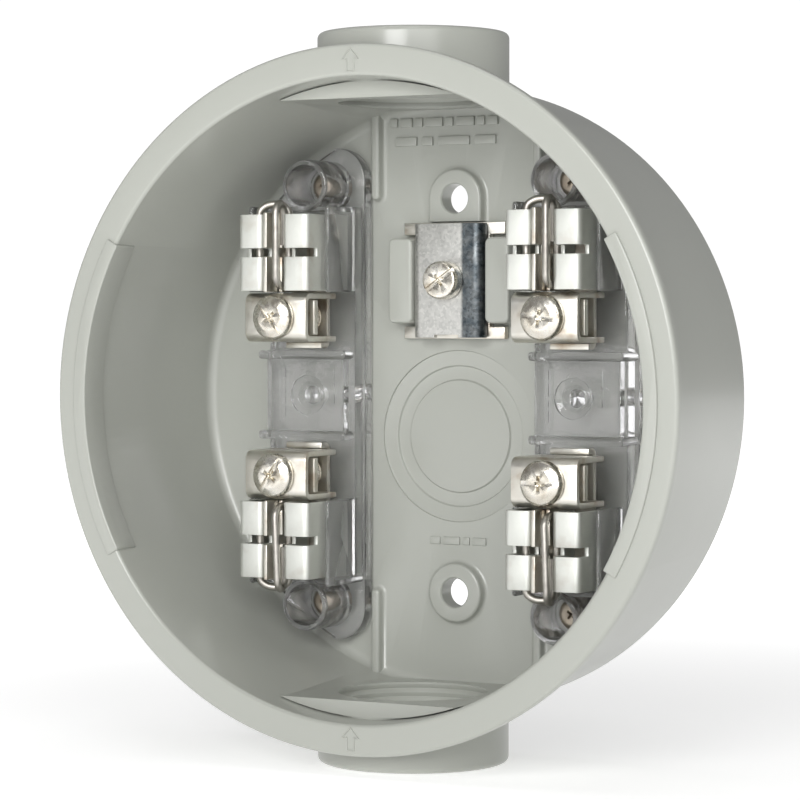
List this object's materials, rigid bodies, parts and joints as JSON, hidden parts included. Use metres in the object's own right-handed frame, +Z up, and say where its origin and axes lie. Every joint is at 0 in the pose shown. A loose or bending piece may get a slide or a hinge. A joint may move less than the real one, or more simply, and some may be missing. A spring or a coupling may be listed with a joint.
{
  "type": "meter socket enclosure",
  "caption": "Round cast meter socket enclosure with a hub above and below, clear terminal blocks, spring jaws, screw lugs and a neutral clamp; the mouth is open.",
  "frame": {"origin": "centre of the enclosure's back face, on the axis of its round mouth", "axes": "+X to the right seen from the front, +Z up along the hub axis, -Y out of the open mouth, so +Y points into the wall"},
  "size_m": [0.177, 0.0607, 0.187],
  "materials": {
    "grey_green_paint": "gloss",
    "clear_polycarbonate": "polished",
    "tinned_copper": "satin",
    "spring_steel": "satin",
    "zinc_plated_steel": "satin"
  },
  "bodies": {
    "enclosure_body": {"enclosure": "grey_green_paint", "left_terminal_block": "clear_polycarbonate", "right_terminal_block": "clear_polycarbonate", "upper_left_block_screw": "zinc_plated_steel", "upper_left_terminal_strip": "tinned_copper", "upper_left_jaw_guide_left": "tinned_copper", "upper_left_jaw_guide_right": "tinned_copper", "upper_left_jaw_spring": "spring_steel", "upper_left_lug_cage": "tinned_copper", "upper_left_lug_nut_plate": "tinned_copper", "upper_right_block_screw": "zinc_plated_steel", "upper_right_terminal_strip": "tinned_copper", "upper_right_jaw_guide_left": "tinned_copper", "upper_right_jaw_guide_right": "tinned_copper", "upper_right_jaw_spring": "spring_steel", "upper_right_lug_cage": "tinned_copper", "upper_right_lug_nut_plate": "tinned_copper", "lower_left_block_screw": "zinc_plated_steel", "lower_left_terminal_strip": "tinned_copper", "lower_left_jaw_guide_left": "tinned_copper", "lower_left_jaw_guide_right": "tinned_copper", "lower_left_jaw_spring": "spring_steel", "lower_left_lug_cage": "tinned_copper", "lower_left_lug_nut_plate": "tinned_copper", "lower_right_block_screw": "zinc_plated_steel", "lower_right_terminal_strip": "tinned_copper", "lower_right_jaw_guide_left": "tinned_copper", "lower_right_jaw_guide_right": "tinned_copper", "lower_right_jaw_spring": "spring_steel", "lower_right_lug_cage": "tinned_copper", "lower_right_lug_nut_plate": "tinned_copper", "neutral_base": "tinned_copper"},
    "upper_left_contact_left_body": {"upper_left_jaw_contact_left": "tinned_copper"},
    "upper_left_contact_right_body": {"upper_left_jaw_contact_right": "tinned_copper"},
    "upper_left_pad_body": {"upper_left_lug_pressure_pad": "zinc_plated_steel"},
    "upper_left_screw_body": {"upper_left_lug_screw": "zinc_plated_steel"},
    "upper_right_contact_left_body": {"upper_right_jaw_contact_left": "tinned_copper"},
    "upper_right_contact_right_body": {"upper_right_jaw_contact_right": "tinned_copper"},
    "upper_right_pad_body": {"upper_right_lug_pressure_pad": "zinc_plated_steel"},
    "upper_right_screw_body": {"upper_right_lug_screw": "zinc_plated_steel"},
    "lower_left_contact_left_body": {"lower_left_jaw_contact_left": "tinned_copper"},
    "lower_left_contact_right_body": {"lower_left_jaw_contact_right": "tinned_copper"},
    "lower_left_pad_body": {"lower_left_lug_pressure_pad": "zinc_plated_steel"},
    "lower_left_screw_body": {"lower_left_lug_screw": "zinc_plated_steel"},
    "lower_right_contact_left_body": {"lower_right_jaw_contact_left": "tinned_copper"},
    "lower_right_contact_right_body": {"lower_right_jaw_contact_right": "tinned_copper"},
    "lower_right_pad_body": {"lower_right_lug_pressure_pad": "zinc_plated_steel"},
    "lower_right_screw_body": {"lower_right_lug_screw": "zinc_plated_steel"},
    "neutral_plate_body": {"neutral_clamp_plate": "zinc_plated_steel"},
    "neutral_screw_body": {"neutral_screw": "zinc_plated_steel"}
  },
  "joints": [
    {"name": "upper_left_contact_left_flex", "type": "hinge", "parent": "enclosure_body", "child": "upper_left_contact_left_body", "pos_m": [-0.04125, -0.015, 0.0377], "axis": [0, 0, -1], "range_deg": [0, 1.3], "stiffness_Nm_per_rad": 0.3, "springref_deg": -2.86},
    {"name": "upper_left_contact_right_flex", "type": "hinge", "parent": "enclosure_body", "child": "upper_left_contact_right_body", "pos_m": [-0.03985, -0.015, 0.0377], "axis": [0, 0, 1], "range_deg": [0, 0.8], "stiffness_Nm_per_rad": 0.3, "springref_deg": -2.86},
    {"name": "upper_left_lug_travel", "type": "slide", "parent": "enclosure_body", "child": "upper_left_pad_body", "axis": [0, -1, 0], "range_m": [0, 0.00762]},
    {"name": "upper_left_lug_turn", "type": "hinge", "parent": "upper_left_pad_body", "child": "upper_left_screw_body", "pos_m": [-0.0393, -0.025, 0.0207], "axis": [0, -1, 0], "range_deg": [0, 2160]},
    {"name": "upper_right_contact_left_flex", "type": "hinge", "parent": "enclosure_body", "child": "upper_right_contact_left_body", "pos_m": [0.03735, -0.015, 0.0377], "axis": [0, 0, -1], "range_deg": [0, 1.3], "stiffness_Nm_per_rad": 0.3, "springref_deg": -2.86},
    {"name": "upper_right_contact_right_flex", "type": "hinge", "parent": "enclosure_body", "child": "upper_right_contact_right_body", "pos_m": [0.03875, -0.015, 0.0377], "axis": [0, 0, 1], "range_deg": [0, 0.8], "stiffness_Nm_per_rad": 0.3, "springref_deg": -2.86},
    {"name": "upper_right_lug_travel", "type": "slide", "parent": "enclosure_body", "child": "upper_right_pad_body", "axis": [0, -1, 0], "range_m": [0, 0.00762]},
    {"name": "upper_right_lug_turn", "type": "hinge", "parent": "upper_right_pad_body", "child": "upper_right_screw_body", "pos_m": [0.0393, -0.025, 0.0207], "axis": [0, -1, 0], "range_deg": [0, 2160]},
    {"name": "lower_left_contact_left_flex", "type": "hinge", "parent": "enclosure_body", "child": "lower_left_contact_left_body", "pos_m": [-0.04125, -0.015, -0.0377], "axis": [0, 0, -1], "range_deg": [0, 1.3], "stiffness_Nm_per_rad": 0.3, "springref_deg": -2.86},
    {"name": "lower_left_contact_right_flex", "type": "hinge", "parent": "enclosure_body", "child": "lower_left_contact_right_body", "pos_m": [-0.03985, -0.015, -0.0377], "axis": [0, 0, 1], "range_deg": [0, 0.8], "stiffness_Nm_per_rad": 0.3, "springref_deg": -2.86},
    {"name": "lower_left_lug_travel", "type": "slide", "parent": "enclosure_body", "child": "lower_left_pad_body", "axis": [0, -1, 0], "range_m": [0, 0.00762]},
    {"name": "lower_left_lug_turn", "type": "hinge", "parent": "lower_left_pad_body", "child": "lower_left_screw_body", "pos_m": [-0.0393, -0.025, -0.0207], "axis": [0, -1, 0], "range_deg": [0, 2160]},
    {"name": "lower_right_contact_left_flex", "type": "hinge", "parent": "enclosure_body", "child": "lower_right_contact_left_body", "pos_m": [0.03735, -0.015, -0.0377], "axis": [0, 0, -1], "range_deg": [0, 1.3], "stiffness_Nm_per_rad": 0.3, "springref_deg": -2.86},
    {"name": "lower_right_contact_right_flex", "type": "hinge", "parent": "enclosure_body", "child": "lower_right_contact_right_body", "pos_m": [0.03875, -0.015, -0.0377], "axis": [0, 0, 1], "range_deg": [0, 0.8], "stiffness_Nm_per_rad": 0.3, "springref_deg": -2.86},
    {"name": "lower_right_lug_travel", "type": "slide", "parent": "enclosure_body", "child": "lower_right_pad_body", "axis": [0, -1, 0], "range_m": [0, 0.00762]},
    {"name": "lower_right_lug_turn", "type": "hinge", "parent": "lower_right_pad_body", "child": "lower_right_screw_body", "pos_m": [0.0393, -0.025, -0.0207], "axis": [0, -1, 0], "range_deg": [0, 2160]},
    {"name": "neutral_clamp_travel", "type": "slide", "parent": "enclosure_body", "child": "neutral_plate_body", "axis": [0, -1, 0], "range_m": [0, 0.004]},
    {"name": "neutral_screw_turn", "type": "hinge", "parent": "neutral_plate_body", "child": "neutral_screw_body", "pos_m": [0, -0.01, 0.0304], "axis": [0, -1, 0], "range_deg": [0, 1800]}
  ],
  "couplings": [
    {"joint": "upper_left_contact_right_flex", "follows": "upper_left_contact_left_flex", "ratio": 0.6},
    {"joint": "upper_left_lug_turn", "follows": "upper_left_lug_travel", "rad_per_m": 4947.4},
    {"joint": "upper_right_contact_right_flex", "follows": "upper_right_contact_left_flex", "ratio": 0.6},
    {"joint": "upper_right_lug_turn", "follows": "upper_right_lug_travel", "rad_per_m": 4947.4},
    {"joint": "lower_left_contact_right_flex", "follows": "lower_left_contact_left_flex", "ratio": 0.6},
    {"joint": "lower_left_lug_turn", "follows": "lower_left_lug_travel", "rad_per_m": 4947.4},
    {"joint": "lower_right_contact_right_flex", "follows": "lower_right_contact_left_flex", "ratio": 0.6},
    {"joint": "lower_right_lug_turn", "follows": "lower_right_lug_travel", "rad_per_m": 4947.4},
    {"joint": "neutral_screw_turn", "follows": "neutral_clamp_travel", "rad_per_m": 7854}
  ]
}
